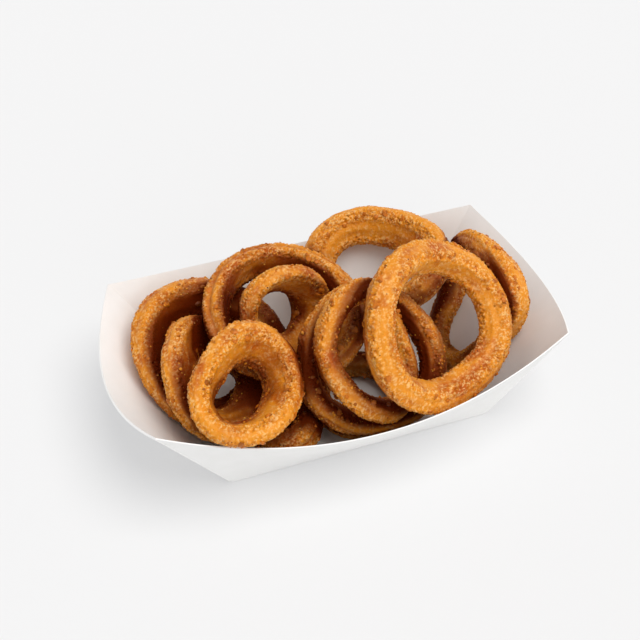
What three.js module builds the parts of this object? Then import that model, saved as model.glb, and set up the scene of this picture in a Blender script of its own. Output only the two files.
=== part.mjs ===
// A folded white paperboard boat tray heaped with twelve battered onion rings.
// Millimetres, +Z up. The origin is the middle of the tray's flat bottom, +X runs along the
// tray, and -Y is its near side. Every ring is a piece of its own, and so is the tray.
import * as THREE from 'three';

// ---- The tray -----------------------------------------------------------------------------
// Four flat-bottomed walls lean out from a rectangular floor to four pointed corners. Between
// the corners each wall bows out, and its rim dips.
const boardThickness = 0.55;
const flapThickness = 0.45;
const trayHeight = 45;
const floorHalfLength = 55;
const floorHalfWidth = 37;
const cornerHalfLength = 83;
const cornerHalfWidth = 46;
const longWall = { bow: 15, dip: 12.2, columns: 28 };
const endWall = { bow: 11.55, dip: 9.3, columns: 18 };
const wallRows = 2;
// A glued flap runs from each near corner along the outside of the end wall, and stops here.
const flapShare = 0.77;
const flapEdge = 0.012;

// ---- The rings ----------------------------------------------------------------------------
// centre: the middle of the ring's centreline. lean: the compass direction, in degrees from +X
// towards +Y, that its open face is turned to, and tilt: how far it is turned that way from
// level. radius: of the centreline. wall and width: half the batter's thickness across the
// ring and along its axis. flare: how far the band opens like a funnel towards its open face.
// oval, lobe and warp: how far the centreline is stretched in its plane, pulled to three blunt
// corners in it, and bent out of it, each with the direction in the ring's plane where that is
// greatest. oval and lobe are shares of the radius. swell: the share by which the band is thicker
// on one side and thinner on the other, and that side's direction. Degrees, and mm for the rest.
const rings = [
  {
    name: 'ring_far_left', centre: [-49.5, 13.3, 22.2], lean: -59, tilt: 33,
    radius: 26, wall: 5.5, width: 9.4, flare: 50, oval: [0, 12], warp: [2, -1], lobe: [0.027, -24],
    swell: [0.08, 22],
  },
  {
    name: 'ring_left_leaning', centre: [-51.4, -5.7, 28.3], lean: -29, tilt: 35,
    radius: 19.6, wall: 5, width: 9.1, flare: 58, oval: [0.1, 6], warp: [3.1, -75], lobe: [0.004, 32],
    swell: [0, 0],
  },
  {
    name: 'ring_back_left_wide', centre: [-17.3, 10.6, 38], lean: -72, tilt: 18.2,
    radius: 28.5, wall: 4.7, width: 6.8, flare: 29, oval: [0, 25], warp: [0.9, -15], lobe: [0.025, -44],
    swell: [0.03, 16],
  },
  {
    name: 'ring_front_left', centre: [-46.1, -33.1, 45.5], lean: -64, tilt: 30,
    radius: 16.9, wall: 4.4, width: 9.5, flare: 27, oval: [0.15, 22], warp: [3.2, 76], lobe: [0.002, -6],
    swell: [0.03, 4],
  },
  {
    name: 'ring_nested_small', centre: [-17.2, 9.6, 39.4], lean: -66, tilt: 70,
    radius: 15.8, wall: 3.8, width: 9, flare: 34, oval: [0.09, -55], warp: [2.5, 61], lobe: [0.012, 18],
    swell: [0, 0],
  },
  {
    name: 'ring_back_right', centre: [31.3, 31.5, 34.1], lean: -127, tilt: 20.8,
    radius: 24.2, wall: 5.2, width: 9, flare: 31, oval: [0.07, 21], warp: [2.6, -11], lobe: [0.03, 12],
    swell: [0.1, 15],
  },
  {
    name: 'ring_front_right', centre: [32.1, -30.1, 52.1], lean: -56, tilt: 53.3,
    radius: 29.7, wall: 5.7, width: 6.5, flare: 35, oval: [0.1, -14], warp: [3.2, -51], lobe: [0.022, -12],
    swell: [0, 0],
  },
  {
    name: 'ring_right_end', centre: [65.3, 1.5, 28.3], lean: -174, tilt: 63.3,
    radius: 22.7, wall: 4.6, width: 6.3, flare: 13, oval: [0.12, -69], warp: [3.5, -85], lobe: [0.105, 40],
    swell: [0.14, 80],
  },
  {
    name: 'ring_middle_inner', centre: [5.7, -27.9, 44.1], lean: -56, tilt: 59,
    radius: 21.5, wall: 4.3, width: 5, flare: 23, oval: [0.14, -87], warp: [3.5, 79], lobe: [0.01, -14],
    swell: [0, 17],
  },
  {
    name: 'ring_middle_outer', centre: [9.1, -21.8, 34], lean: -75, tilt: 50,
    radius: 27.3, wall: 4.4, width: 5.3, flare: 38, oval: [0.04, -16], warp: [2.4, -71], lobe: [0.025, -40],
    swell: [0.03, -63],
  },
  {
    name: 'ring_floor_middle', centre: [7.5, -14, 6.4], lean: 4, tilt: 0.5,
    radius: 18.3, wall: 5.2, width: 5.3, flare: 5, oval: [0.03, 8], warp: [0.2, 89], lobe: [0, 0],
    swell: [0, 0],
  },
  {
    name: 'ring_floor_left', centre: [-28.5, -26.6, 11.5], lean: 158, tilt: 21.3,
    radius: 10, wall: 4.9, width: 7, flare: 10, oval: [0, -54], warp: [0.1, 61], lobe: [0.01, 30],
    swell: [0, 0],
  },
];
const columnSpacing = 4;
const sectionSides = 12;
// The section is a rounded square: 1 would make it an ellipse and 0 a rectangle.
const sectionSquareness = 0.8;

// ---- The batter's crags -------------------------------------------------------------------
const cragsPerRing = 34;
const cragRise = { lowest: -0.55, highest: 0.15 };
const cragSize = { smallest: 2.5, largest: 6 };

const colours = {
  board: 0xf1eeea,
  batter: [0xc98440, 0xc07a35, 0xcf8d48, 0xd2924c, 0xc88740, 0xc58038],
};

function degrees(angle) {
  return THREE.MathUtils.degToRad(angle);
}

function seededRandom(seed) {
  let state = seed;
  return () => {
    state = (state * 1664525 + 1013904223) % 4294967296;
    return state / 4294967296;
  };
}

// A closed surface from its points and the corner numbers of its triangles.
function solidGeometry(points, corners) {
  const geometry = new THREE.BufferGeometry();
  geometry.setAttribute('position', new THREE.Float32BufferAttribute(points.flatMap((p) => p.toArray()), 3));
  geometry.setIndex(corners);
  geometry.computeVertexNormals();
  return geometry;
}

// ---- Making the tray ----------------------------------------------------------------------

// The four walls, anticlockwise from the near one. Each runs along one direction and faces out
// along another. The flap covers a stretch of each end wall, given as shares of its length.
const walls = [
  {
    along: [1, 0], out: [0, -1], ...longWall, flap: null,
    rimHalf: cornerHalfLength, floorHalf: floorHalfLength,
    rimOut: cornerHalfWidth, floorOut: floorHalfWidth,
  },
  {
    along: [0, 1], out: [1, 0], ...endWall, flap: [0, flapShare],
    rimHalf: cornerHalfWidth, floorHalf: floorHalfWidth,
    rimOut: cornerHalfLength, floorOut: floorHalfLength,
  },
  {
    along: [-1, 0], out: [0, 1], ...longWall, flap: null,
    rimHalf: cornerHalfLength, floorHalf: floorHalfLength,
    rimOut: cornerHalfWidth, floorOut: floorHalfWidth,
  },
  {
    along: [0, -1], out: [-1, 0], ...endWall, flap: [1 - flapShare, 1],
    rimHalf: cornerHalfWidth, floorHalf: floorHalfWidth,
    rimOut: cornerHalfLength, floorOut: floorHalfLength,
  },
];

// A point of a wall's outer face: share runs along the wall and rise from the floor to the rim.
function wallPoint(wall, share, rise) {
  const arch = 4 * share * (1 - share);
  const half = THREE.MathUtils.lerp(wall.floorHalf, wall.rimHalf, rise);
  const out = THREE.MathUtils.lerp(wall.floorOut, wall.rimOut + wall.bow * arch, rise);
  const run = half * (2 * share - 1);
  return new THREE.Vector3(
    wall.along[0] * run + wall.out[0] * out,
    wall.along[1] * run + wall.out[1] * out,
    (trayHeight - wall.dip * arch) * rise,
  );
}

function wallNormal(wall, share, rise) {
  const step = 0.001;
  const here = wallPoint(wall, share, rise);
  const alongWall = wallPoint(wall, share + step, rise).sub(here);
  const upWall = wallPoint(wall, share, rise + step).sub(here);
  return alongWall.cross(upWall).normalize();
}

function hasFlap(wall, share) {
  return wall.flap !== null && share >= wall.flap[0] && share <= wall.flap[1];
}

// Where the columns of a wall stand: evenly, with a close pair at the flap's edge.
function wallShares(wall) {
  const shares = Array.from({ length: wall.columns }, (_, i) => i / wall.columns);
  if (wall.flap === null) {
    return shares;
  }
  const edge = wall.flap[0] > 0 ? wall.flap[0] : wall.flap[1];
  const apart = shares.filter((share) => Math.abs(share - edge) > 2 * flapEdge);
  return [...apart, edge - flapEdge / 2, edge + flapEdge / 2].sort((a, b) => a - b);
}

// Moves a point until it lies at the given distance outside each plane through it.
function offsetPoint(point, planes) {
  const passes = 60;
  const shift = new THREE.Vector3();
  for (let pass = 0; pass < passes; pass += 1) {
    for (const { normal, distance } of planes) {
      shift.addScaledVector(normal, distance - shift.dot(normal));
    }
  }
  return point.clone().add(shift);
}

// One column of the tray: its outer and inner points, from the floor to the rim.
function trayColumn(wall, share, previousWall) {
  const column = { outer: [], inner: [] };
  for (let row = 0; row <= wallRows; row += 1) {
    const rise = row / wallRows;
    const faces = [{ normal: wallNormal(wall, share, rise), flap: hasFlap(wall, share) }];
    if (share === 0) {
      faces.push({ normal: wallNormal(previousWall, 1, rise), flap: hasFlap(previousWall, 1) });
    }
    const outerPlanes = faces.map((face) => ({
      normal: face.normal,
      distance: face.flap ? flapThickness : 0,
    }));
    const innerPlanes = faces.map((face) => ({ normal: face.normal, distance: -boardThickness }));
    if (row === 0) {
      const down = new THREE.Vector3(0, 0, -1);
      outerPlanes.push({ normal: down, distance: 0 });
      innerPlanes.push({ normal: down, distance: -boardThickness });
    }
    const point = wallPoint(wall, share, rise);
    column.outer.push(offsetPoint(point, outerPlanes));
    column.inner.push(offsetPoint(point, innerPlanes));
  }
  return column;
}

function trayGeometry() {
  const columns = walls.flatMap((wall, side) => {
    const previousWall = walls[(side + walls.length - 1) % walls.length];
    return wallShares(wall).map((share) => trayColumn(wall, share, previousWall));
  });
  // Each column's points run up the outer face and down the inner one.
  const loop = 2 * (wallRows + 1);
  const points = columns.flatMap((column) => [...column.outer, ...column.inner.reverse()]);
  const underside = points.length;
  const floorTop = underside + 1;
  points.push(new THREE.Vector3(0, 0, 0));
  points.push(new THREE.Vector3(0, 0, boardThickness));
  const corners = [];
  columns.forEach((_, c) => {
    const here = c * loop;
    const next = ((c + 1) % columns.length) * loop;
    for (let i = 0; i < loop - 1; i += 1) {
      corners.push(here + i, next + i, next + i + 1);
      corners.push(here + i, next + i + 1, here + i + 1);
    }
    corners.push(underside, next, here);
    corners.push(floorTop, here + loop - 1, next + loop - 1);
  });
  return solidGeometry(points, corners);
}

// ---- Making a ring ------------------------------------------------------------------------

// The ring's own directions: its axis, and two across it, the first one level.
function ringDirections(ring) {
  const lean = degrees(ring.lean);
  const tilt = degrees(ring.tilt);
  const axis = new THREE.Vector3(
    Math.sin(tilt) * Math.cos(lean),
    Math.sin(tilt) * Math.sin(lean),
    Math.cos(tilt),
  );
  const level = new THREE.Vector3(-Math.sin(lean), Math.cos(lean), 0);
  const uphill = new THREE.Vector3().crossVectors(axis, level);
  return { axis, level, uphill };
}

// Seeded bumps and pits, spread over the way round the ring and the way round its section.
function makeCrags(random) {
  return Array.from({ length: cragsPerRing }, () => ({
    round: random() * 2 * Math.PI,
    section: random() * 2 * Math.PI,
    rise: THREE.MathUtils.lerp(cragRise.lowest, cragRise.highest, random()),
    size: THREE.MathUtils.lerp(cragSize.smallest, cragSize.largest, random()),
  }));
}

function angleBetween(a, b) {
  return Math.atan2(Math.sin(a - b), Math.cos(a - b));
}

function reliefAt(crags, ring, round, section) {
  return crags.reduce((sum, crag) => {
    const alongRing = angleBetween(round, crag.round) * ring.radius;
    const aroundSection = angleBetween(section, crag.section) * ring.wall;
    const distance = Math.hypot(alongRing, aroundSection) / crag.size;
    return sum + crag.rise * Math.exp(-distance * distance);
  }, 0);
}

function squared(value) {
  return Math.sign(value) * Math.abs(value) ** sectionSquareness;
}

// A point of the ring's skin, at an angle round the ring and an angle round its section.
function ringPoint(ring, directions, round, section, relief) {
  const [ovalAmount, ovalDirection] = ring.oval;
  const [lobeAmount, lobeDirection] = ring.lobe;
  const [warpAmount, warpDirection] = ring.warp;
  const [swellAmount, swellDirection] = ring.swell;
  const oval = ovalAmount * Math.cos(2 * (round - degrees(ovalDirection)));
  const lobe = lobeAmount * Math.cos(3 * (round - degrees(lobeDirection)));
  const radius = ring.radius * (1 + oval + lobe);
  const lift = warpAmount * Math.cos(2 * (round - degrees(warpDirection)));
  const thickness = 1 + swellAmount * Math.cos(round - degrees(swellDirection));
  const outward = new THREE.Vector3()
    .addScaledVector(directions.level, Math.cos(round))
    .addScaledVector(directions.uphill, Math.sin(round));
  const across = (ring.wall * thickness + relief) * squared(Math.cos(section));
  const along = (ring.width * thickness + relief) * squared(Math.sin(section));
  const flare = degrees(ring.flare);
  const fromCentreline = across * Math.cos(flare) + along * Math.sin(flare);
  const fromPlane = along * Math.cos(flare) - across * Math.sin(flare);
  return new THREE.Vector3(...ring.centre)
    .addScaledVector(outward, radius + fromCentreline)
    .addScaledVector(directions.axis, lift + fromPlane);
}

function ringGeometry(ring, seed) {
  const directions = ringDirections(ring);
  const crags = makeCrags(seededRandom(seed));
  const columns = Math.round((2 * Math.PI * ring.radius) / columnSpacing);
  const points = [];
  const corners = [];
  for (let c = 0; c < columns; c += 1) {
    for (let s = 0; s < sectionSides; s += 1) {
      const round = (c / columns) * 2 * Math.PI;
      const section = (s / sectionSides) * 2 * Math.PI;
      points.push(ringPoint(ring, directions, round, section, reliefAt(crags, ring, round, section)));
      const a = c * sectionSides + s;
      const b = ((c + 1) % columns) * sectionSides + s;
      const nextSide = (s + 1) % sectionSides;
      const aUp = c * sectionSides + nextSide;
      const bUp = ((c + 1) % columns) * sectionSides + nextSide;
      corners.push(a, b, bUp, a, bUp, aUp);
    }
  }
  return solidGeometry(points, corners);
}

// ---- The whole side -----------------------------------------------------------------------
const boardMaterial = new THREE.MeshStandardMaterial({
  color: colours.board, roughness: 0.75, metalness: 0,
});

const onionRingsSide = new THREE.Group();
const tray = new THREE.Mesh(trayGeometry(), boardMaterial);
tray.name = 'tray';
onionRingsSide.add(tray);

rings.forEach((ring, i) => {
  const batter = new THREE.MeshStandardMaterial({
    color: colours.batter[i % colours.batter.length], roughness: 0.7, metalness: 0,
  });
  const mesh = new THREE.Mesh(ringGeometry(ring, i + 1), batter);
  mesh.name = ring.name;
  onionRingsSide.add(mesh);
});

export default onionRingsSide;
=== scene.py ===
# %% [markdown]
# # A side of onion rings in a folded paperboard tray
# A frame of plain solids already says where the tray and each of the twelve rings lie. This
# lesson gives them their real surfaces: folded white board for the tray, and fried batter with
# lumps, crags, a fine granular crust and loose crumbs for the rings. Everything is in metres.

# %% Load the frame and keep its box
import math

import bmesh
import bpy
import numpy as np
from mathutils import Matrix, Vector


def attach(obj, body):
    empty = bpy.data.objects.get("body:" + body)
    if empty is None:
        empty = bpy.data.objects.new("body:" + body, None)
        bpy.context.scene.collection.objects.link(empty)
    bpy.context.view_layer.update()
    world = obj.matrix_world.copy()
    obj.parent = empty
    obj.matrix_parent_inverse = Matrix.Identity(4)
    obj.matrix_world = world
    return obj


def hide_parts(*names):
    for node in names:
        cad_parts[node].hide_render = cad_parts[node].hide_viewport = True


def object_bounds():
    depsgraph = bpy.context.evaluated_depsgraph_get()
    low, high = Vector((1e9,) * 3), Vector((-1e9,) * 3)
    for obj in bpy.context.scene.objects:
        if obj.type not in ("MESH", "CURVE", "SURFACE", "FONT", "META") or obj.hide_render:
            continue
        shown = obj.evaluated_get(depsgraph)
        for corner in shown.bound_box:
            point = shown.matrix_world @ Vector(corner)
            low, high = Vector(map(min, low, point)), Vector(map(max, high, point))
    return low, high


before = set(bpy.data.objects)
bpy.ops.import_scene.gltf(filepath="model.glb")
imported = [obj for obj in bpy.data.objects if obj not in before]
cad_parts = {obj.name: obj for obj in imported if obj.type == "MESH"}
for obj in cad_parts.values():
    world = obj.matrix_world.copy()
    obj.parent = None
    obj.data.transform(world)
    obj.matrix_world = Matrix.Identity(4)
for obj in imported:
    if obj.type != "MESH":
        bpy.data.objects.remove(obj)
cad_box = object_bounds()
MM = 0.001
ring_names = sorted(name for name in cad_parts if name.startswith("ring_"))
print("rings in the frame:", len(ring_names))

# %% [markdown]
# ## Helpers
# Node trees read best when each line makes one node and says what feeds it. `Tree` wraps a
# shader or geometry tree: `add` makes a node, sets its settings and its inputs, and links an
# input where it is given another node's socket. `_0` means a node's first input, for nodes whose
# inputs share one name.

# %% A small wrapper for node trees
class Tree:
    def __init__(self, tree):
        self.tree = tree
        self.count = 0

    def add(self, kind, settings=None, **inputs):
        node = self.tree.nodes.new(kind)
        node.location = (220 * (self.count % 12), -260 * (self.count // 12))
        self.count += 1
        for name, value in (settings or {}).items():
            setattr(node, name, value)
        for name, value in inputs.items():
            self.feed(self.socket(node, name), value)
        return node

    def socket(self, node, name):
        if name.startswith("_"):
            return node.inputs[int(name[1:])]
        return node.inputs[name.replace("_", " ")]

    def feed(self, socket, value):
        if isinstance(value, bpy.types.NodeSocket):
            self.tree.links.new(value, socket)
        elif isinstance(value, bpy.types.Node):
            self.tree.links.new(value.outputs[0], socket)
        else:
            socket.default_value = value

    def math(self, operation, a, b=0.0, c=0.0):
        return self.add("ShaderNodeMath", {"operation": operation}, _0=a, _1=b, _2=c).outputs[0]

    def vector(self, operation, a, b=(0, 0, 0)):
        node = self.add("ShaderNodeVectorMath", {"operation": operation}, _0=a)
        if operation == "SCALE":
            self.feed(node.inputs["Scale"], b)
        else:
            self.feed(node.inputs[1], b)
        return node.outputs[0]

    def remap(self, value, low, high, to_low=0.0, to_high=1.0):
        node = self.add("ShaderNodeMapRange", {"interpolation_type": "SMOOTHSTEP"}, Value=value)
        for name, number in zip(("From Min", "From Max", "To Min", "To Max"),
                                (low, high, to_low, to_high)):
            self.feed(node.inputs[name], number)
        return node.outputs[0]

    def mix(self, share, low, high):
        """The colour low, turning to high as share goes from 0 to 1."""
        node = self.add("ShaderNodeMix", {"data_type": "RGBA"})
        for place, value in ((0, share), (6, low), (7, high)):
            self.feed(node.inputs[place], value)
        return node.outputs[2]


def new_object(name, mesh):
    piece = bpy.data.objects.new(name, mesh)
    bpy.context.scene.collection.objects.link(piece)
    return piece


def bake_modifiers(piece):
    """Turns the object's evaluated shape into its plain mesh and drops the modifiers."""
    evaluated = piece.evaluated_get(bpy.context.evaluated_depsgraph_get())
    mesh = bpy.data.meshes.new_from_object(evaluated)
    piece.modifiers.clear()
    piece.data = mesh


def triangles(mesh):
    return sum(len(p.vertices) - 2 for p in mesh.polygons)


# %% [markdown]
# ## The camera
# The camera looks down at the tray from its near left, at about 42 degrees, through a short
# telephoto lens. A look-at constraint would hide the roll, so the camera's own three directions
# are worked out from the compass bearing, the height angle and the roll.

# %% Place the camera
camera_bearing = math.radians(-18.325)
camera_height_angle = math.radians(41.637)
camera_roll = math.radians(-1.072)
camera_distance = 472.5 * MM
camera_target = Vector((0.54, 16.44, 24.6)) * MM
camera_lens = 62.0
camera_sensor = 36.0
camera_near_limit = 10 * MM


def make_camera():
    back = Vector((
        math.sin(camera_bearing) * math.cos(camera_height_angle),
        -math.cos(camera_bearing) * math.cos(camera_height_angle),
        math.sin(camera_height_angle),
    ))
    level_right = (-back).cross(Vector((0, 0, 1))).normalized()
    level_up = level_right.cross(-back)
    right = level_right * math.cos(camera_roll) + level_up * math.sin(camera_roll)
    up = level_up * math.cos(camera_roll) - level_right * math.sin(camera_roll)
    data = bpy.data.cameras.new("camera")
    data.lens = camera_lens
    data.sensor_width = camera_sensor
    data.sensor_fit = "HORIZONTAL"
    data.clip_start = camera_near_limit
    camera = bpy.data.objects.new("camera", data)
    axes = Matrix((right, up, back)).transposed().to_4x4()
    camera.matrix_world = Matrix.Translation(camera_target + back * camera_distance) @ axes
    bpy.context.scene.collection.objects.link(camera)
    bpy.context.scene.camera = camera
    return camera


print("camera at", [round(x, 3) for x in make_camera().location])

# %% [markdown]
# ## Floor and light
# A studio tabletop is near white. One broad soft source stands high on the right, so shadows
# fall to the left, and the room's own light fills them. A weak one stands in for a white
# reflector at the front. The tabletop glows a little, as a light table does, which keeps the
# shadow faint and the tray's outside white. A sun lamp with a wide angle gives an even floor,
# which an area lamp close by wouldn't.

# %% Make the tabletop
tabletop_half = 2.5
tabletop_drop = 0.2 * MM
tabletop_tone = (0.50, 0.50, 0.505, 1)
tabletop_glow = 0.30


def make_floor():
    signs = ((-1, -1), (1, -1), (1, 1), (-1, 1))
    corners = [(x * tabletop_half, y * tabletop_half, -tabletop_drop) for x, y in signs]
    mesh = bpy.data.meshes.new("tabletop")
    mesh.from_pydata(corners, [], [(0, 1, 2, 3)])
    floor = new_object("tabletop", mesh)
    material = bpy.data.materials.new("tabletop")
    material.use_nodes = True
    shader = material.node_tree.nodes["Principled BSDF"]
    shader.inputs["Base Color"].default_value = tabletop_tone
    shader.inputs["Roughness"].default_value = 0.9
    shader.inputs["Specular IOR Level"].default_value = 0.2
    shader.inputs["Emission Color"].default_value = (1.0, 1.0, 1.0, 1)
    shader.inputs["Emission Strength"].default_value = tabletop_glow
    mesh.materials.append(material)


make_floor()
print("the tabletop is in")

# %% Light the studio
sky_tone = (0.985, 0.99, 1.0, 1)
sky_strength = 0.66
# Each lamp: name, where its light comes from, energy, the angle it fills in degrees, and tint.
lamps = (
    ("key", (0.30, -0.26, 0.92), 1.85, 45, (1.0, 0.985, 0.955)),
    ("front_fill", (-0.05, -0.98, 0.12), 0.75, 50, (1.0, 1.0, 1.0)),
)


def make_light():
    world = bpy.data.worlds.new("studio")
    bpy.context.scene.world = world
    world.use_nodes = True
    background = world.node_tree.nodes["Background"]
    background.inputs["Color"].default_value = sky_tone
    background.inputs["Strength"].default_value = sky_strength
    for name, towards_light, energy, spread, tint in lamps:
        data = bpy.data.lights.new(name, "SUN")
        data.energy = energy
        data.angle = math.radians(spread)
        data.color = tint
        lamp = bpy.data.objects.new(name, data)
        lamp.rotation_euler = Vector(towards_light).to_track_quat("Z", "Y").to_euler()
        bpy.context.scene.collection.objects.link(lamp)
    bpy.context.scene.view_settings.view_transform = "Standard"


make_light()
print("lamps:", [name for name, *_ in lamps])

# %% [markdown]
# ## The tray
# The real tray is one sheet of white board, scored and folded up from a rectangular floor, with
# a flap from each near corner glued round the outside of the end wall. It could be a solid, but
# board is a sheet, so a sheet is made first: its middle surface as a grid, with creased folds,
# then a Subdivision Surface rounds the bends and Solidify gives it the board's thickness.

# %% The tray's sizes
tray_height = 45 * MM
floor_half_length = 55 * MM
floor_half_width = 37 * MM
corner_half_length = 83 * MM
corner_half_width = 46 * MM
long_bow = 15 * MM
long_dip = 12.2 * MM
long_columns = 28
end_bow = 11.55 * MM
end_dip = 9.3 * MM
end_columns = 18
board = 0.45 * MM
sheet_inset = 0.5 * board
wall_rows = 6
fold_crease = 0.86
# A flap reaches this share of the way along the end wall, and this far up from the floor.
flap_share = 0.77
flap_foot = 0.02
flap_rise = 0.975
flap_offset = 0.62 * board
flap_columns = 36
flap_rows = 10

# %% Points of the four walls
# Each wall: the direction it runs in, the way it faces, its bow and dip, and its half sizes.
walls = []
for along, out in (((1, 0), (0, -1)), ((0, 1), (1, 0)), ((-1, 0), (0, 1)), ((0, -1), (-1, 0))):
    is_long = along[0] != 0
    walls.append({
        "along": along,
        "out": out,
        "bow": long_bow if is_long else end_bow,
        "dip": long_dip if is_long else end_dip,
        "columns": long_columns if is_long else end_columns,
        "rim_half": corner_half_length if is_long else corner_half_width,
        "floor_half": floor_half_length if is_long else floor_half_width,
        "rim_out": corner_half_width if is_long else corner_half_length,
        "floor_out": floor_half_width if is_long else floor_half_length,
    })


def wall_point(wall, share, rise, outward=0.0):
    """A point of a wall: share runs along it, rise from the floor to the rim."""
    arch = 4 * share * (1 - share)
    half = wall["floor_half"] + (wall["rim_half"] - wall["floor_half"]) * rise
    reach = wall["floor_out"] + (wall["rim_out"] + wall["bow"] * arch - wall["floor_out"]) * rise
    run = half * (2 * share - 1)
    reach += outward
    return (
        wall["along"][0] * run + wall["out"][0] * reach,
        wall["along"][1] * run + wall["out"][1] * reach,
        (tray_height - wall["dip"] * arch) * rise,
    )


for wall in walls:
    print("middle of a rim:", [round(x, 4) for x in wall_point(wall, 0.5, 1.0)])

# %% The folded sheet
def make_sheet():
    """The board's middle surface: a floor grid, and four walls on its edge."""
    mesh = bmesh.new()
    crease = mesh.edges.layers.float.new("crease_edge")
    vertex_crease = mesh.verts.layers.float.new("crease_vert")
    lift = board / 2
    grid = {}
    for i in range(long_columns + 1):
        for j in range(end_columns + 1):
            x = floor_half_length * (2 * i / long_columns - 1)
            y = floor_half_width * (2 * j / end_columns - 1)
            grid[i, j] = mesh.verts.new((x, y, lift))
    for i in range(long_columns):
        for j in range(end_columns):
            mesh.faces.new((grid[i, j], grid[i + 1, j], grid[i + 1, j + 1], grid[i, j + 1]))
    edge_of_floor = (
        [grid[i, 0] for i in range(long_columns)]
        + [grid[long_columns, j] for j in range(end_columns)]
        + [grid[i, end_columns] for i in range(long_columns, 0, -1)]
        + [grid[0, j] for j in range(end_columns, 0, -1)]
    )
    rows = [edge_of_floor]
    stations = [(wall, k / wall["columns"]) for wall in walls for k in range(wall["columns"])]
    for row in range(1, wall_rows + 1):
        rise = row / wall_rows
        line = []
        for wall, share in stations:
            x, y, z = wall_point(wall, share, rise, -sheet_inset)
            line.append(mesh.verts.new((x, y, lift + z * (1 - lift / tray_height))))
        rows.append(line)
    count = len(edge_of_floor)
    for low, high in zip(rows, rows[1:]):
        for k in range(count):
            after = (k + 1) % count
            mesh.faces.new((low[after], low[k], high[k], high[after]))
    corners = [k for k, (_, share) in enumerate(stations) if share == 0]
    for k in corners:
        rows[-1][k][vertex_crease] = 1.0
        for low, high in zip(rows, rows[1:]):
            mesh.edges.get((low[k], high[k]))[crease] = fold_crease
    for k in range(count):
        fold = mesh.edges.get((edge_of_floor[k], edge_of_floor[(k + 1) % count]))
        fold[crease] = fold_crease
    mesh.normal_update()
    sheet = bpy.data.meshes.new("tray_board")
    mesh.to_mesh(sheet)
    mesh.free()
    return sheet


# %% The glued flaps
def make_flaps():
    """Two strips of board on the outside of the end walls, from the near corners."""
    mesh = bmesh.new()
    _, right_end, _, left_end = walls
    for wall, start, stop in ((right_end, 0.0, flap_share), (left_end, 1 - flap_share, 1.0)):
        points = {}
        for i in range(flap_columns + 1):
            for j in range(flap_rows + 1):
                share = start + (stop - start) * i / flap_columns
                rise = flap_foot + flap_rise * j / flap_rows
                points[i, j] = mesh.verts.new(wall_point(wall, share, rise, flap_offset))
        for i in range(flap_columns):
            for j in range(flap_rows):
                mesh.faces.new((points[i, j], points[i + 1, j], points[i + 1, j + 1], points[i, j + 1]))
    mesh.normal_update()
    flaps = bpy.data.meshes.new("tray_flaps")
    mesh.to_mesh(flaps)
    mesh.free()
    return flaps


def give_thickness(piece, thickness, levels):
    if levels:
        smooth = piece.modifiers.new("bends", "SUBSURF")
        smooth.levels = levels
        smooth.render_levels = levels
    solid = piece.modifiers.new("board", "SOLIDIFY")
    solid.thickness = thickness
    solid.offset = 0
    solid.use_even_offset = True
    bake_modifiers(piece)


tray_board = new_object("tray_board", make_sheet())
give_thickness(tray_board, board, 2)
tray_flaps = new_object("tray_flaps", make_flaps())
give_thickness(tray_flaps, board, 0)
print("tray board:", triangles(tray_board.data), "triangles, flaps:", triangles(tray_flaps.data))

# %% [markdown]
# ## The board's finish
# Paperboard is white, dull and very slightly fibrous, with a faint mottle where the light grazes
# it. The mottle and the fibres come from two noises on Object coordinates: one colours the
# sheet by a trace, and both give it a shallow bump.

# %% The board's material
board_tone_low = (0.835, 0.83, 0.815, 1)
board_tone_high = (0.855, 0.85, 0.84, 1)
mottle_scale = 120.0
mottle_range = (0.3, 0.7)
fibre_scale = 2600.0
fibre_share = 0.35


def make_board_material():
    material = bpy.data.materials.new("white_board")
    material.use_nodes = True
    tree = Tree(material.node_tree)
    shader = material.node_tree.nodes["Principled BSDF"]
    place = tree.add("ShaderNodeTexCoord").outputs["Object"]
    mottle = tree.add("ShaderNodeTexNoise", Vector=place, Scale=mottle_scale, Detail=3.0)
    fibres = tree.add("ShaderNodeTexNoise", Vector=place, Scale=fibre_scale, Detail=2.0)
    tone = tree.mix(tree.remap(mottle.outputs[0], *mottle_range), board_tone_low, board_tone_high)
    height = tree.math("ADD", tree.math("MULTIPLY", fibres.outputs[0], fibre_share), mottle.outputs[0])
    bump = tree.add("ShaderNodeBump", Height=height, Strength=0.12, Distance=0.2 * MM)
    tree.feed(shader.inputs["Base Color"], tone)
    tree.feed(shader.inputs["Normal"], bump)
    shader.inputs["Roughness"].default_value = 0.62
    shader.inputs["Specular IOR Level"].default_value = 0.35
    return material


white_board = make_board_material()
for piece in (tray_board, tray_flaps):
    piece.data.materials.clear()
    piece.data.materials.append(white_board)
    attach(piece, "root")
    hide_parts("tray")
print("the tray has its board finish")

# %% [markdown]
# ## From a faceted solid to a ring of batter
# Each ring in the frame is a coarse closed solid. Its copy is merged, because its triangles are
# loose, and remeshed to even cells under half a millimetre wide, so that relief can be cut
# anywhere. A few rounds of smoothing then take the facets off. Subdividing the coarse triangles
# would keep their pattern in the surface, which a voxel remesh doesn't.

# %% Even, smooth cores
core_cell = 0.40 * MM
core_smoothing = 14
merge_distance = 1e-6


def make_core(name):
    """A finely meshed, smooth copy of a ring's solid."""
    copy = bmesh.new()
    copy.from_mesh(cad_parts[name].data)
    bmesh.ops.remove_doubles(copy, verts=copy.verts, dist=merge_distance)
    mesh = bpy.data.meshes.new(name + "_batter")
    copy.to_mesh(mesh)
    copy.free()
    piece = new_object(name + "_batter", mesh)
    cells = piece.modifiers.new("cells", "REMESH")
    cells.mode = "VOXEL"
    cells.voxel_size = core_cell
    soften = piece.modifiers.new("soften", "SMOOTH")
    soften.factor = 0.5
    soften.iterations = core_smoothing
    bake_modifiers(piece)
    return piece


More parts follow.
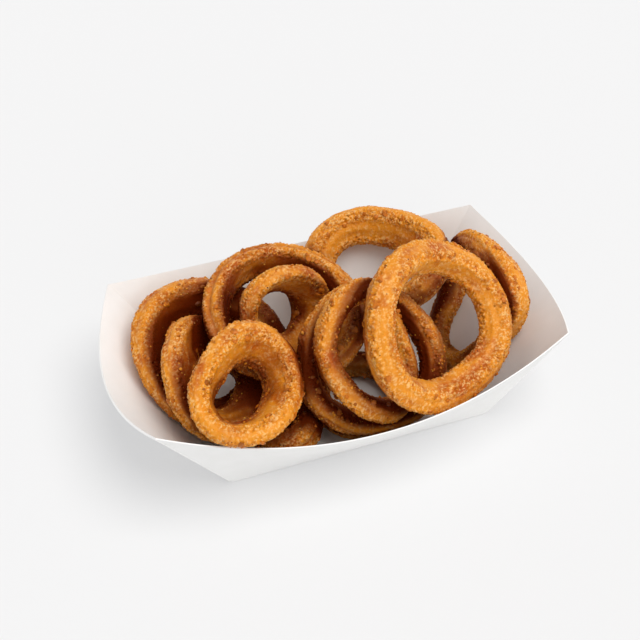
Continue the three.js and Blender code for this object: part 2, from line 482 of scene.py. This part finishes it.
# %% [markdown]
# A crust isn't the same all round a ring: folds run along the band, the walls fry smooth, and the
# rims tear and gather crumb. To say so, every point gets two numbers for its place on the band's
# section: `side`, 1 on the outer wall and -1 on the inner one, and `depth`, 1 on the near rim and
# -1 on the far one. The ring's own middle and axis come from its points: the axis is the
# direction in which they spread least, and the band's slope the one in which a section is longest.

# %% Where each point lies on its ring
section_girth = 6 * MM
turn_bins = 72
full_reach_percentile = 98


def points_of(mesh):
    points = np.empty(len(mesh.vertices) * 3)
    mesh.vertices.foreach_get("co", points)
    return points.reshape(-1, 3)


def store(mesh, name, kind, values):
    attribute = mesh.attributes.new(name, kind, "POINT")
    field = "vector" if kind == "FLOAT_VECTOR" else "value"
    attribute.data.foreach_set(field, values.astype(np.float32).ravel())


def ring_axes(points):
    centre = points.mean(axis=0)
    _, _, directions = np.linalg.svd(points - centre, full_matrices=False)
    axis = directions[2]
    if axis[2] < 0:
        axis = -axis
    level = np.cross((0.0, 0.0, 1.0), axis)
    level /= np.linalg.norm(level)
    return centre, axis, level, np.cross(axis, level)


def add_ring_coordinates(mesh):
    """Stores, for each point, its place round the ring and round the band's section."""
    points = points_of(mesh)
    centre, axis, level, uphill = ring_axes(points)
    offset = points - centre
    turn = np.arctan2(offset @ uphill, offset @ level)
    reach = np.hypot(offset @ uphill, offset @ level)
    height = offset @ axis
    bins = ((turn + math.pi) / (2 * math.pi) * turn_bins).astype(int) % turn_bins
    across = reach - np.array([reach[bins == k].mean() for k in range(turn_bins)])[bins]
    along = height - np.array([height[bins == k].mean() for k in range(turn_bins)])[bins]
    slope = 0.5 * math.atan2(2 * (across * along).mean(), (along ** 2 - across ** 2).mean())
    deep = along * math.cos(slope) + across * math.sin(slope)
    thick = across * math.cos(slope) - along * math.sin(slope)
    deep /= np.percentile(np.abs(deep), full_reach_percentile)
    thick /= np.percentile(np.abs(thick), full_reach_percentile)
    size = np.hypot(deep, thick) + 1e-6
    deep, thick = deep / size, thick / size
    radius = reach.mean()
    band = np.stack([np.cos(turn) * radius, np.sin(turn) * radius, thick * section_girth], axis=1)
    store(mesh, "band", "FLOAT_VECTOR", band)
    store(mesh, "side", "FLOAT", thick)
    store(mesh, "depth", "FLOAT", deep)


# %% [markdown]
# ## Batter relief by Geometry Nodes
# Fried batter has relief at several sizes: lumps some 8 mm wide where it ran and set, folds that
# follow the band, torn edges at its rims, crags of 2 to 3 mm, and grains under a millimetre from
# the crumb in it. Each is a noise that moves the surface along its normal. Where two layers of
# onion lie in one ring, a groove also runs round its rim. The folds' noise is read in four
# dimensions, three from `band` and one from `depth`, because the way round a section closes on
# itself and a flat noise would leave a seam there. The tree keeps what it did as attributes, and
# the finish colours the crust by them.

# %% The relief's sizes
relief_inputs = (
    ("Seed", 0.0),
    ("Swell", 0.12 * MM),
    ("Lump Size", 9 * MM),
    ("Lump Height", 0.5 * MM),
    ("Groove Place", 0.0),
    ("Groove Width", 0.6),
    ("Groove Height", 0.5 * MM),
    ("Fold Size", 4.2 * MM),
    ("Fold Height", 0.95 * MM),
    ("Edge Size", 2.0 * MM),
    ("Edge Height", 1.15 * MM),
    ("Crag Size", 2.0 * MM),
    ("Crag Height", 0.7 * MM),
    ("Grain Size", 0.9 * MM),
    ("Grain Height", 0.38 * MM),
)
fold_stretch = 0.2
# The product of `side` and `depth` at which a rim starts, and at which it is fully a rim.
rim_start = 0.24
rim_full = 0.5
# A crest's height, and how fast the surface falls away from it, as shares of the edge or crag.
torn_crest = 0.42
torn_fall = 1.9
crag_crest = 0.3
crag_fall = 1.6
grain_level = 0.5
# How rough the crust is on the inner wall, on the outer one, and at the very least.
inner_roughness = 0.25
outer_roughness = 0.85
least_roughness = 0.12
print("relief inputs:", [name for name, _ in relief_inputs])


# %% The relief tree
def make_relief_tree():
    group = bpy.data.node_groups.new("batter relief", "GeometryNodeTree")
    group.interface.new_socket("Geometry", in_out="INPUT", socket_type="NodeSocketGeometry")
    for name, value in relief_inputs:
        socket = group.interface.new_socket(name, in_out="INPUT", socket_type="NodeSocketFloat")
        socket.default_value = value
    group.interface.new_socket("Geometry", in_out="OUTPUT", socket_type="NodeSocketGeometry")
    tree = Tree(group)
    given = tree.add("NodeGroupInput").outputs
    shift = tree.add("ShaderNodeCombineXYZ", X=given["Seed"], Y=given["Seed"], Z=given["Seed"])
    place = tree.vector("ADD", tree.add("GeometryNodeInputPosition").outputs[0], shift.outputs[0])

    def named(name, kind="FLOAT"):
        node = tree.add("GeometryNodeInputNamedAttribute", {"data_type": kind}, Name=name)
        return node.outputs["Attribute"]

    def noise(size, detail, roughness=0.5):
        scale = tree.math("DIVIDE", 1.0, size)
        value = tree.add("ShaderNodeTexNoise", Vector=place, Scale=scale, Detail=detail,
                         Roughness=roughness).outputs[0]
        return tree.math("MULTIPLY_ADD", value, 2.0, -1.0)

    side = named("side")
    depth = named("depth")
    stretched = tree.vector("MULTIPLY", named("band", "FLOAT_VECTOR"), (fold_stretch, fold_stretch, 1.0))
    turned = tree.math("ADD", tree.math("MULTIPLY", depth, section_girth), given["Seed"])
    fold = tree.add("ShaderNodeTexNoise", {"noise_dimensions": "4D"},
                    Vector=tree.vector("ADD", stretched, shift.outputs[0]), W=turned,
                    Scale=tree.math("DIVIDE", 1.0, given["Fold Size"]), Detail=2.0, Roughness=0.45)
    fold = tree.math("MULTIPLY_ADD", fold.outputs[0], 2.0, -1.0)
    lump = noise(given["Lump Size"], 1.5)
    round_section = tree.math("ARCTAN2", side, depth)
    wander = noise(tree.math("MULTIPLY", given["Lump Size"], 1.3), 2.0)
    from_groove = tree.math("SUBTRACT", round_section, given["Groove Place"])
    astray = tree.math("MULTIPLY_ADD", wander, 0.5, from_groove)
    groove = tree.remap(tree.math("ABSOLUTE", astray), given["Groove Width"], 0.0)
    rim = tree.remap(tree.math("ABSOLUTE", tree.math("MULTIPLY", side, depth)), rim_start, rim_full)
    torn = tree.math("ABSOLUTE", noise(given["Edge Size"], 3.0, 0.62))
    torn = tree.math("SUBTRACT", torn_crest, tree.math("MULTIPLY", torn, torn_fall))
    crag = tree.math("ABSOLUTE", noise(given["Crag Size"], 3.0, 0.6))
    crag = tree.math("SUBTRACT", crag_crest, tree.math("MULTIPLY", crag, crag_fall))
    cells = tree.add("ShaderNodeTexVoronoi", {"feature": "SMOOTH_F1"}, Vector=place,
                     Scale=tree.math("DIVIDE", 1.0, given["Grain Size"]), Smoothness=0.3)
    grain = tree.math("SUBTRACT", grain_level, cells.outputs["Distance"])
    patch = tree.remap(noise(tree.math("MULTIPLY", given["Lump Size"], 0.8), 2.0), -0.3, 0.3)
    outside = tree.remap(side, -0.6, 0.4, inner_roughness, outer_roughness)
    rough = tree.math("MAXIMUM", tree.math("MULTIPLY", patch, outside), rim)
    rough = tree.math("MULTIPLY_ADD", rough, 1 - least_roughness, least_roughness)
    height = tree.math("MULTIPLY_ADD", lump, given["Lump Height"], given["Swell"])
    height = tree.math("MULTIPLY_ADD", fold, given["Fold Height"], height)
    cut = tree.math("MULTIPLY", groove, given["Groove Height"])
    height = tree.math("SUBTRACT", height, cut)
    height = tree.math("MULTIPLY_ADD", tree.math("MULTIPLY", rim, torn), given["Edge Height"], height)
    height = tree.math("MULTIPLY_ADD", tree.math("MULTIPLY", rough, crag), given["Crag Height"], height)
    height = tree.math("MULTIPLY_ADD", tree.math("MULTIPLY", rough, grain), given["Grain Height"], height)
    normal = tree.add("GeometryNodeInputNormal").outputs[0]
    moved = tree.add("GeometryNodeSetPosition", Geometry=given["Geometry"],
                     Offset=tree.vector("SCALE", normal, height))
    kept = moved.outputs[0]
    for name, value in (("fold", fold), ("torn", torn), ("crag", crag), ("grain", grain),
                        ("rough", rough), ("rim", rim), ("groove", tree.math("DIVIDE", cut, MM))):
        keep = tree.add("GeometryNodeStoreNamedAttribute", {"data_type": "FLOAT", "domain": "POINT"},
                        Geometry=kept, Name=name)
        tree.feed(keep.inputs["Value"], value)
        kept = keep.outputs[0]
    smooth = tree.add("GeometryNodeSetShadeSmooth", Geometry=kept)
    tree.add("NodeGroupOutput", Geometry=smooth.outputs[0])
    return group


relief_tree = make_relief_tree()
print("relief tree:", len(relief_tree.nodes), "nodes")


def add_nodes(piece, group, **values):
    """Adds a node tree as a modifier, with its inputs set by their identifiers."""
    modifier = piece.modifiers.new(group.name, "NODES")
    modifier.node_group = group
    for item in group.interface.items_tree:
        if item.item_type == "SOCKET" and item.in_out == "INPUT" and item.name in values:
            modifier[item.identifier] = values[item.name]


# %% [markdown]
# Batter that faces a neighbour is painted darker and redder than batter in the open. This is painted
# shade, standing in for the shade the rings of the heap cast on each other.
# A second small tree measures it: from each point it casts a few rays into the
# plain solids round it, and keeps the share that soon hits something as a point attribute, the mask of
# that painted shade.

# %% The nook tree
nook_rays = 9
nook_reach = 26 * MM
nook_ray_start = 1.2 * MM
nook_blur = 10
# How far the rays lean from the surface's normal, and the turn from each ray to the next.
ray_lean = 0.92
golden_turn = 2.39996


def make_nook_tree():
    group = bpy.data.node_groups.new("nooks", "GeometryNodeTree")
    group.interface.new_socket("Geometry", in_out="INPUT", socket_type="NodeSocketGeometry")
    group.interface.new_socket("Heap", in_out="INPUT", socket_type="NodeSocketObject")
    reach_socket = group.interface.new_socket("Reach", in_out="INPUT", socket_type="NodeSocketFloat")
    reach_socket.default_value = nook_reach
    group.interface.new_socket("Geometry", in_out="OUTPUT", socket_type="NodeSocketGeometry")
    tree = Tree(group)
    given = tree.add("NodeGroupInput").outputs
    heap = tree.add("GeometryNodeObjectInfo", Object=given["Heap"]).outputs["Geometry"]
    normal = tree.add("GeometryNodeInputNormal").outputs[0]
    place = tree.add("GeometryNodeInputPosition").outputs[0]
    start = tree.vector("ADD", place, tree.vector("SCALE", normal, nook_ray_start))
    total = 0.0
    for ray in range(nook_rays):
        height = 1 - (2 * ray + 1) / nook_rays
        turn = golden_turn * ray
        flat = math.sqrt(1 - height * height)
        lean = (ray_lean * flat * math.cos(turn), ray_lean * flat * math.sin(turn), ray_lean * height)
        cast = tree.add("GeometryNodeRaycast", Target_Geometry=heap, Source_Position=start,
                        Ray_Direction=tree.vector("ADD", normal, lean), Ray_Length=given["Reach"])
        distance = tree.math("DIVIDE", cast.outputs["Hit Distance"], given["Reach"])
        near = tree.math("SUBTRACT", 1.0, distance)
        total = tree.math("MULTIPLY_ADD", cast.outputs["Is Hit"], near, total)
    share = tree.math("DIVIDE", total, float(nook_rays))
    even = tree.add("GeometryNodeBlurAttribute", {"data_type": "FLOAT"}, Iterations=nook_blur)
    tree.feed(even.inputs["Value"], share)
    keep = tree.add("GeometryNodeStoreNamedAttribute", {"data_type": "FLOAT", "domain": "POINT"},
                    Geometry=given["Geometry"], Name="nook")
    tree.feed(keep.inputs["Value"], even.outputs[0])
    tree.add("NodeGroupOutput", Geometry=keep)
    return group


nook_tree = make_nook_tree()
print("nook tree:", len(nook_tree.nodes), "nodes,", nook_rays, "rays from each point")


def joined(name, meshes):
    """One object from several meshes."""
    whole = bmesh.new()
    for mesh in meshes:
        whole.from_mesh(mesh)
    mesh = bpy.data.meshes.new(name)
    whole.to_mesh(mesh)
    whole.free()
    return new_object(name, mesh)


heap = joined("heap", [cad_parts[name].data for name in ring_names])

# %% [markdown]
# ## Twelve rings in one loop
# All rings are made alike: a smooth core, its ring coordinates, the nooks and then the relief.
# They differ by their solid, by the noise's seed, and by the groove between two layers of
# onion, which is deep in a few and faint in the others. Points that would stand out over the
# frame's top, or under the tray's floor, are put back on it.

# %% Make the twelve rings
box_top = cad_box[1][2] - 0.05 * MM
floor_top = 0.4 * MM
seed_step = 0.37


def keep_between(mesh, bottom, top):
    """No crag stands out over the frame's box or under the tray's floor."""
    points = points_of(mesh)
    points[:, 2] = np.clip(points[:, 2], bottom, top)
    mesh.vertices.foreach_set("co", points.ravel())
    mesh.update()


# Where each groove runs round the section, in radians from the near rim, and how deep it is.
faint_groove = (0.0, 0.25 * MM)
rim_grooves = {
    "ring_back_left_wide": (0.1, 1.3 * MM),
    "ring_back_right": (0.8, 0.9 * MM),
    "ring_front_right": (1.2, 0.6 * MM),
    "ring_middle_outer": (0.6, 0.5 * MM),
    "ring_front_left": (1.3, 0.5 * MM),
}

rings = {}
for number, name in enumerate(ring_names):
    ring = make_core(name)
    add_ring_coordinates(ring.data)
    add_nodes(ring, nook_tree, Heap=heap)
    place, height = rim_grooves.get(name, faint_groove)
    grooved = {"Groove Place": place, "Groove Height": height}
    add_nodes(ring, relief_tree, Seed=seed_step * (number + 1), **grooved)
    bake_modifiers(ring)
    keep_between(ring.data, floor_top, box_top)
    rings[name] = ring
    print(name, triangles(ring.data), "triangles")
bpy.data.objects.remove(heap)

# %% [markdown]
# ## The crust's finish
# Batter fries from pale gold on the crumbs that stand proud, through orange on the smooth walls,
# to brown in the pits and along torn edges. The colour therefore follows the relief attributes,
# with broad noise for how long each side faced the oil. Batter and crumbs both get painted shade, brown
# in the nooks of the heap where the rings shade each other, so that step is a node group which both their
# materials use.

# %% Painted shade in the nooks
crust_tones = {
    "crumb": (0.92, 0.60, 0.24, 1),
    "gold": (0.73, 0.258, 0.011, 1),
    "orange": (0.47, 0.098, 0.002, 1),
    "rust": (0.27, 0.037, 0.001, 1),
    "brown": (0.09, 0.008, 0.0005, 1),
}
painted_shade_inputs = (
    ("Color", "NodeSocketColor"),
    ("More", "NodeSocketFloat"),
    ("From", "NodeSocketFloat"),
    ("To", "NodeSocketFloat"),
    ("Share", "NodeSocketFloat"),
)


def make_painted_shade_group():
    """Paints shade on a colour: browns it where the mask of the nooks, with More added, rises from From
    to To.
    """
    group = bpy.data.node_groups.new("painted shade in nooks", "ShaderNodeTree")
    for name, kind in painted_shade_inputs:
        group.interface.new_socket(name, in_out="INPUT", socket_type=kind)
    group.interface.new_socket("Color", in_out="OUTPUT", socket_type="NodeSocketColor")
    tree = Tree(group)
    given = tree.add("NodeGroupInput").outputs
    nook = tree.add("ShaderNodeAttribute", {"attribute_name": "nook"}).outputs["Fac"]
    shaded = tree.remap(tree.math("ADD", nook, given["More"]), given["From"], given["To"])
    share = tree.math("MULTIPLY", shaded, given["Share"])
    tree.add("NodeGroupOutput", Color=tree.mix(share, given["Color"], crust_tones["brown"]))
    return group


painted_shade_group = make_painted_shade_group()
print("painted shade group inputs:", [name for name, _ in painted_shade_inputs])

# %% [markdown]
# The batter's colour is built in layers, from broad to fine: gold and orange by how it
# fried, pale crumb on what stands proud, rust in the pits, grooves and torn rims, brown specks,
# painted shade in rust on the walls that face a neighbour, inner walls most, and last painted shade in
# brown in the nooks, which also grows towards the bottom of the tray. A little subsurface light keeps it
# from looking like clay, and a thin sheen of oil gives soft highlights.

# %% The batter's noises and layers
# Noises, each with its scale per metre, detail and roughness.
frying_noise = (75.0, 4.0, 0.6)
crumb_noise = (520.0, 3.0, 0.65)
edge_noise = (190.0, 4.0, 0.65)
speck_noise = (1100.0, 2.0, 0.7)
fine_noise = (2200.0, 3.0, 0.62)
# Where each layer starts and where it is full, as values of what drives it.
orange_range = (0.42, 0.72)
fine_crumb_range = (0.45, 0.7)
proud_range = (0.02, 0.45)
pit_range = (-0.15, -0.8)
edge_range = (0.5, 0.68)
speck_range = (0.66, 0.74)
inner_side_range = (0.1, -0.8)
inner_wall_shade_range = (0.01, 0.2)
wall_shade_range = (0.0, 0.14)
painted_shade_range = (0.03, 0.34)
fine_range = (0.3, 0.7)
# How much one thing adds to another.
fold_pales = -0.3
crag_stands = 0.6
crumb_stands = 0.22
torn_stands = 0.25
grain_sinks = 0.5
fold_sinks = 0.5
wall_shade_share = 0.7
# The most that each layer of colour may cover the ones under it.
crumb_cover = 0.62
pit_cover = 0.75
groove_cover = 0.4
edge_cover = 0.5
speck_cover = 0.45
wall_shade_cover = 0.88
painted_shade_cover = 0.94
# Painted shade in the nooks grows by this much between these two heights, from the upper one down.
depth_painted_shade = 0.14
sunk_range = (32 * MM, 8 * MM)
# The surface's own gloss: its specular level, its roughness and what rough crust adds to that.
open_gloss = 0.22
nook_gloss = 0.02
dull_range = (0.24, 0.46)
rough_adds = 0.22
fine_bump = 0.3 * MM
# How far light travels inside the batter, and red, green and blue as shares of that.
glow_depth = 1.2 * MM
glow_colours = (1.0, 0.35, 0.08)
print("gloss in the open and in the nooks:", open_gloss, nook_gloss)


# %% The batter material
def make_batter_material():
    material = bpy.data.materials.new("fried_batter")
    material.use_nodes = True
    tree = Tree(material.node_tree)
    shader = material.node_tree.nodes["Principled BSDF"]
    place = tree.add("ShaderNodeTexCoord").outputs["Object"]

    def named(name):
        return tree.add("ShaderNodeAttribute", {"attribute_name": name}).outputs["Fac"]

    def noise(kind):
        scale, detail, roughness = kind
        return tree.add("ShaderNodeTexNoise", Vector=place, Scale=scale, Detail=detail,
                        Roughness=roughness).outputs[0]

    def cover(colour, share, most, tone):
        return tree.mix(tree.math("MULTIPLY", share, most), colour, crust_tones[tone])

    fold, torn, crag, grain, rough, rim, nook = (
        named(name) for name in ("fold", "torn", "crag", "grain", "rough", "rim", "nook"))

    fried = tree.math("MULTIPLY_ADD", fold, fold_pales, noise(frying_noise))
    colour = tree.mix(tree.remap(fried, *orange_range), crust_tones["gold"], crust_tones["orange"])

    stands = tree.math("ADD", grain, tree.math("MULTIPLY", crag, crag_stands))
    proud = tree.math("MULTIPLY", rough, stands)
    fine_crumb = tree.remap(noise(crumb_noise), *fine_crumb_range)
    proud = tree.math("MULTIPLY_ADD", fine_crumb, crumb_stands, proud)
    proud = tree.math("MULTIPLY_ADD", torn, torn_stands, proud)
    colour = cover(colour, tree.remap(proud, *proud_range), crumb_cover, "crumb")

    pits = tree.math("ADD", crag, tree.math("MULTIPLY", grain, grain_sinks))
    pits = tree.math("MULTIPLY_ADD", fold, fold_sinks, pits)
    colour = cover(colour, tree.remap(pits, *pit_range), pit_cover, "rust")
    colour = cover(colour, named("groove"), groove_cover, "rust")
    edge = tree.math("MULTIPLY", rim, tree.remap(noise(edge_noise), *edge_range))
    colour = cover(colour, edge, edge_cover, "rust")
    colour = cover(colour, tree.remap(noise(speck_noise), *speck_range), speck_cover, "brown")

    # Painted shade: walls that face a neighbour, inner walls most, turn rust by the mask of the nooks.
    inner_side = tree.remap(named("side"), *inner_side_range)
    inner_wall_painted_shade = tree.math("MULTIPLY", inner_side, tree.remap(nook, *inner_wall_shade_range))
    wall_painted_shade = tree.math("MULTIPLY", tree.remap(nook, *wall_shade_range), wall_shade_share)
    colour = cover(colour, tree.math("MAXIMUM", inner_wall_painted_shade, wall_painted_shade), wall_shade_cover, "rust")

    # Painted shade: brown in the nooks, and more of it lower in the tray, where the heap shades itself.
    height = tree.add("ShaderNodeSeparateXYZ", Vector=place).outputs["Z"]
    sunk = tree.math("MULTIPLY", tree.remap(height, *sunk_range), depth_painted_shade)
    painted_shade_colour = tree.add("ShaderNodeGroup", {"node_tree": painted_shade_group}, Color=colour, More=sunk,
                       From=painted_shade_range[0], To=painted_shade_range[1], Share=painted_shade_cover)

    # The sheen fades with the same mask, as painted shade on the reflection in the nooks. A multiplier
    # comes last, because the glTF exporter reads it as the level and leaves out what varies.
    shaded = tree.remap(tree.math("ADD", nook, sunk), *painted_shade_range)
    gloss_left = tree.math("MULTIPLY_ADD", shaded, nook_gloss / open_gloss - 1, 1.0)
    gloss = tree.math("MULTIPLY", gloss_left, open_gloss)

    fine = noise(fine_noise)
    bump = tree.add("ShaderNodeBump", Height=fine, Strength=0.7, Distance=fine_bump)
    dull = tree.math("MULTIPLY_ADD", rough, rough_adds, tree.remap(fine, *fine_range, *dull_range))
    tree.feed(shader.inputs["Base Color"], painted_shade_colour)
    tree.feed(shader.inputs["Roughness"], dull)
    tree.feed(shader.inputs["Normal"], bump)
    tree.feed(shader.inputs["Specular IOR Level"], gloss)
    shader.inputs["Subsurface Weight"].default_value = 0.1
    shader.inputs["Subsurface Radius"].default_value = glow_colours
    shader.inputs["Subsurface Scale"].default_value = glow_depth
    return material


fried_batter = make_batter_material()
for name, ring in rings.items():
    ring.data.materials.clear()
    ring.data.materials.append(fried_batter)
    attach(ring, "root")
    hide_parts(name)
print("rings have their crust")

# %% [markdown]
# ## Crumbs, flakes and dark specks
# What makes the crust read as fried crumb is loose pieces far too small to model one by one. A
# node tree scatters them: points fall on all rings at once, thicker where an attribute says so,
# and each point gets one of three lumpy grains at its own size and turn, sunk partly into the
# batter. The same tree makes all four kinds, with other sizes, flatness and numbers. Twenty
# faces a grain are enough at these sizes.

# %% What a crumb is like
scatter_inputs = (
    ("Per Square Metre", "NodeSocketFloat", 1.0e5),
    ("Small", "NodeSocketFloat", 0.2 * MM),
    ("Large", "NodeSocketFloat", 0.5 * MM),
    ("Flatness", "NodeSocketFloat", 0.7),
    ("Sink", "NodeSocketFloat", 0.1 * MM),
    ("Where", "NodeSocketString", "rough"),
    ("Only There", "NodeSocketFloat", 0.5),
    ("Seed", "NodeSocketInt", 1),
)
grain_variants = 3
variant_step = (3.1, 1.7)
lump_scale = 1.6
lump_reach = 1.5
least_reach = 0.25
full_turn = 6.283
# Small grains are the commoner the higher this power is.
small_power = 2.2
shortest = 0.65
longest = 1.25
size_seed = 7.0
length_seed = 19.0
print("scatter inputs:", [name for name, *_ in scatter_inputs])


# %% The scatter tree
def make_scatter_tree():
    group = bpy.data.node_groups.new("crumb scatter", "GeometryNodeTree")
    group.interface.new_socket("Geometry", in_out="INPUT", socket_type="NodeSocketGeometry")
    for name, kind, value in scatter_inputs:
        socket = group.interface.new_socket(name, in_out="INPUT", socket_type=kind)
        socket.default_value = value
    group.interface.new_socket("Material", in_out="INPUT", socket_type="NodeSocketMaterial")
    group.interface.new_socket("Geometry", in_out="OUTPUT", socket_type="NodeSocketGeometry")
    tree = Tree(group)
    given = tree.add("NodeGroupInput").outputs

    shapes = tree.add("GeometryNodeJoinGeometry")
    place = tree.add("GeometryNodeInputPosition").outputs[0]
    for variant in range(grain_variants):
        ball = tree.add("GeometryNodeMeshIcoSphere", Radius=1.0, Subdivisions=1)
        shift = (variant_step[0] * variant, variant_step[1] * variant, 0.6)
        shifted = tree.vector("ADD", place, shift)
        bumps = tree.add("ShaderNodeTexNoise", Vector=shifted, Scale=lump_scale, Detail=1.0).outputs[0]
        reach = tree.math("MULTIPLY_ADD", bumps, lump_reach, least_reach)
        lumpy = tree.add("GeometryNodeSetPosition", Geometry=ball.outputs["Mesh"],
                         Position=tree.vector("SCALE", place, reach))
        single = tree.add("GeometryNodeGeometryToInstance", Geometry=lumpy)
        tree.tree.links.new(single.outputs[0], shapes.inputs[0])

    there = tree.add("GeometryNodeInputNamedAttribute", {"data_type": "FLOAT"}, Name=given["Where"])
    share = tree.add("ShaderNodeMix", {"data_type": "FLOAT"})
    tree.feed(share.inputs[0], given["Only There"])
    tree.feed(share.inputs[2], 1.0)
    tree.feed(share.inputs[3], there.outputs[0])
    density = tree.math("MULTIPLY", given["Per Square Metre"], share.outputs[0])
    points = tree.add("GeometryNodeDistributePointsOnFaces", {"distribute_method": "RANDOM"},
                      Mesh=given["Geometry"], Density=density, Seed=given["Seed"])
    index = tree.add("GeometryNodeInputIndex")
    spin = tree.add("FunctionNodeRandomValue", {"data_type": "FLOAT"}, ID=index)
    tree.feed(spin.inputs[2], 0.0)
    tree.feed(spin.inputs[3], full_turn)
    tree.feed(spin.inputs["Seed"], given["Seed"])
    turned = tree.add("FunctionNodeRotateRotation", {"rotation_space": "LOCAL"},
                      Rotation=points.outputs["Rotation"])
    spun = tree.add("FunctionNodeAxisAngleToRotation", Axis=(0.0, 0.0, 1.0), Angle=spin.outputs[1])
    tree.feed(turned.inputs[1], spun)
    chance = tree.add("FunctionNodeRandomValue", {"data_type": "FLOAT"})
    tree.feed(chance.inputs[2], 0.0)
    tree.feed(chance.inputs[3], 1.0)
    tree.feed(chance.inputs["Seed"], tree.math("ADD", given["Seed"], size_seed))
    small_first = tree.math("POWER", chance.outputs[1], small_power)
    size = tree.add("ShaderNodeMapRange", Value=small_first)
    tree.feed(size.inputs["To Min"], given["Small"])
    tree.feed(size.inputs["To Max"], given["Large"])
    flat = tree.add("ShaderNodeCombineXYZ", X=size, Z=tree.math("MULTIPLY", size, given["Flatness"]))
    longer = tree.add("FunctionNodeRandomValue", {"data_type": "FLOAT"})
    tree.feed(longer.inputs[2], shortest)
    tree.feed(longer.inputs[3], longest)
    tree.feed(longer.inputs["Seed"], tree.math("ADD", given["Seed"], length_seed))
    tree.feed(flat.inputs["Y"], tree.math("MULTIPLY", size, longer.outputs[1]))
    grains = tree.add("GeometryNodeInstanceOnPoints", Points=points.outputs["Points"], Instance=shapes)
    tree.feed(grains.inputs["Pick Instance"], True)
    tree.feed(grains.inputs["Rotation"], turned)
    tree.feed(grains.inputs["Scale"], flat)
    sunk = tree.add("GeometryNodeTranslateInstances", Instances=grains)
    down = tree.add("ShaderNodeCombineXYZ", Z=tree.math("MULTIPLY", given["Sink"], -1.0))
    tree.feed(sunk.inputs["Translation"], down)
    solid = tree.add("GeometryNodeRealizeInstances", Geometry=sunk)
    clad = tree.add("GeometryNodeSetMaterial", Geometry=solid, Material=given["Material"])
    tree.add("NodeGroupOutput", Geometry=clad)
    return group


scatter_tree = make_scatter_tree()
print("scatter tree:", len(scatter_tree.nodes), "nodes")

# %% Four kinds of crumb
crumb_kinds = {
    "pale_crumbs": {
        "tone": (0.84, 0.40, 0.05, 1), "Where": "rough", "Only There": 0.85,
        "Per Square Metre": 5.0e4, "Small": 0.13 * MM, "Large": 0.42 * MM,
        "Flatness": 0.75, "Sink": 0.05 * MM, "Seed": 3,
    },
    "rim_crumbs": {
        "tone": (0.72, 0.27, 0.018, 1), "Where": "rim", "Only There": 0.985,
        "Per Square Metre": 6.0e4, "Small": 0.22 * MM, "Large": 0.75 * MM,
        "Flatness": 0.6, "Sink": 0.18 * MM, "Seed": 5,
    },
    "crust_flakes": {
        "tone": (0.55, 0.15, 0.006, 1), "Where": "rim", "Only There": 0.96,
        "Per Square Metre": 3.0e4, "Small": 0.5 * MM, "Large": 1.7 * MM,
        "Flatness": 0.4, "Sink": 0.12 * MM, "Seed": 11,
    },
    "dark_specks": {
        "tone": (0.14, 0.022, 0.003, 1), "Where": "rough", "Only There": 0.7,
        "Per Square Metre": 1.4e4, "Small": 0.12 * MM, "Large": 0.34 * MM,
        "Flatness": 0.6, "Sink": 0.06 * MM, "Seed": 23,
    },
}

# Crumbs fry unevenly too, down to this share of their own tone, and later take painted shade, brown in
# the nooks.
crumb_frying_scale = 420.0
crumb_frying_range = (0.42, 0.7)
dark_share = 0.55
crumb_painted_shade_range = (0.05, 0.5)
crumb_painted_shade_cover = 0.9


def make_crumb_material(name, tone):
    material = bpy.data.materials.new(name)
    material.use_nodes = True
    tree = Tree(material.node_tree)
    shader = material.node_tree.nodes["Principled BSDF"]
    place = tree.add("ShaderNodeTexCoord").outputs["Object"]
    fried = tree.add("ShaderNodeTexNoise", Vector=place, Scale=crumb_frying_scale, Detail=2.0)
    dark_tone = tuple(dark_share * x for x in tone[:3]) + (1,)
    colour = tree.mix(tree.remap(fried.outputs[0], *crumb_frying_range), tone, dark_tone)
    painted_shade_colour = tree.add("ShaderNodeGroup", {"node_tree": painted_shade_group}, Color=colour, More=0.0,
                       From=crumb_painted_shade_range[0], To=crumb_painted_shade_range[1], Share=crumb_painted_shade_cover)
    tree.feed(shader.inputs["Base Color"], painted_shade_colour)
    shader.inputs["Roughness"].default_value = 0.42
    shader.inputs["Specular IOR Level"].default_value = 0.25
    return material


crumb_bed = joined("crumb_bed", [ring.data for ring in rings.values()])
for name, kind in crumb_kinds.items():
    crumbs = new_object(name, crumb_bed.data)
    values = {key: value for key, value in kind.items() if key != "tone"}
    add_nodes(crumbs, scatter_tree, Material=make_crumb_material(name, kind["tone"]), **values)
    bake_modifiers(crumbs)
    keep_between(crumbs.data, floor_top, box_top)
    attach(crumbs, "root")
    print(name, triangles(crumbs.data), "triangles")
bpy.data.objects.remove(crumb_bed)
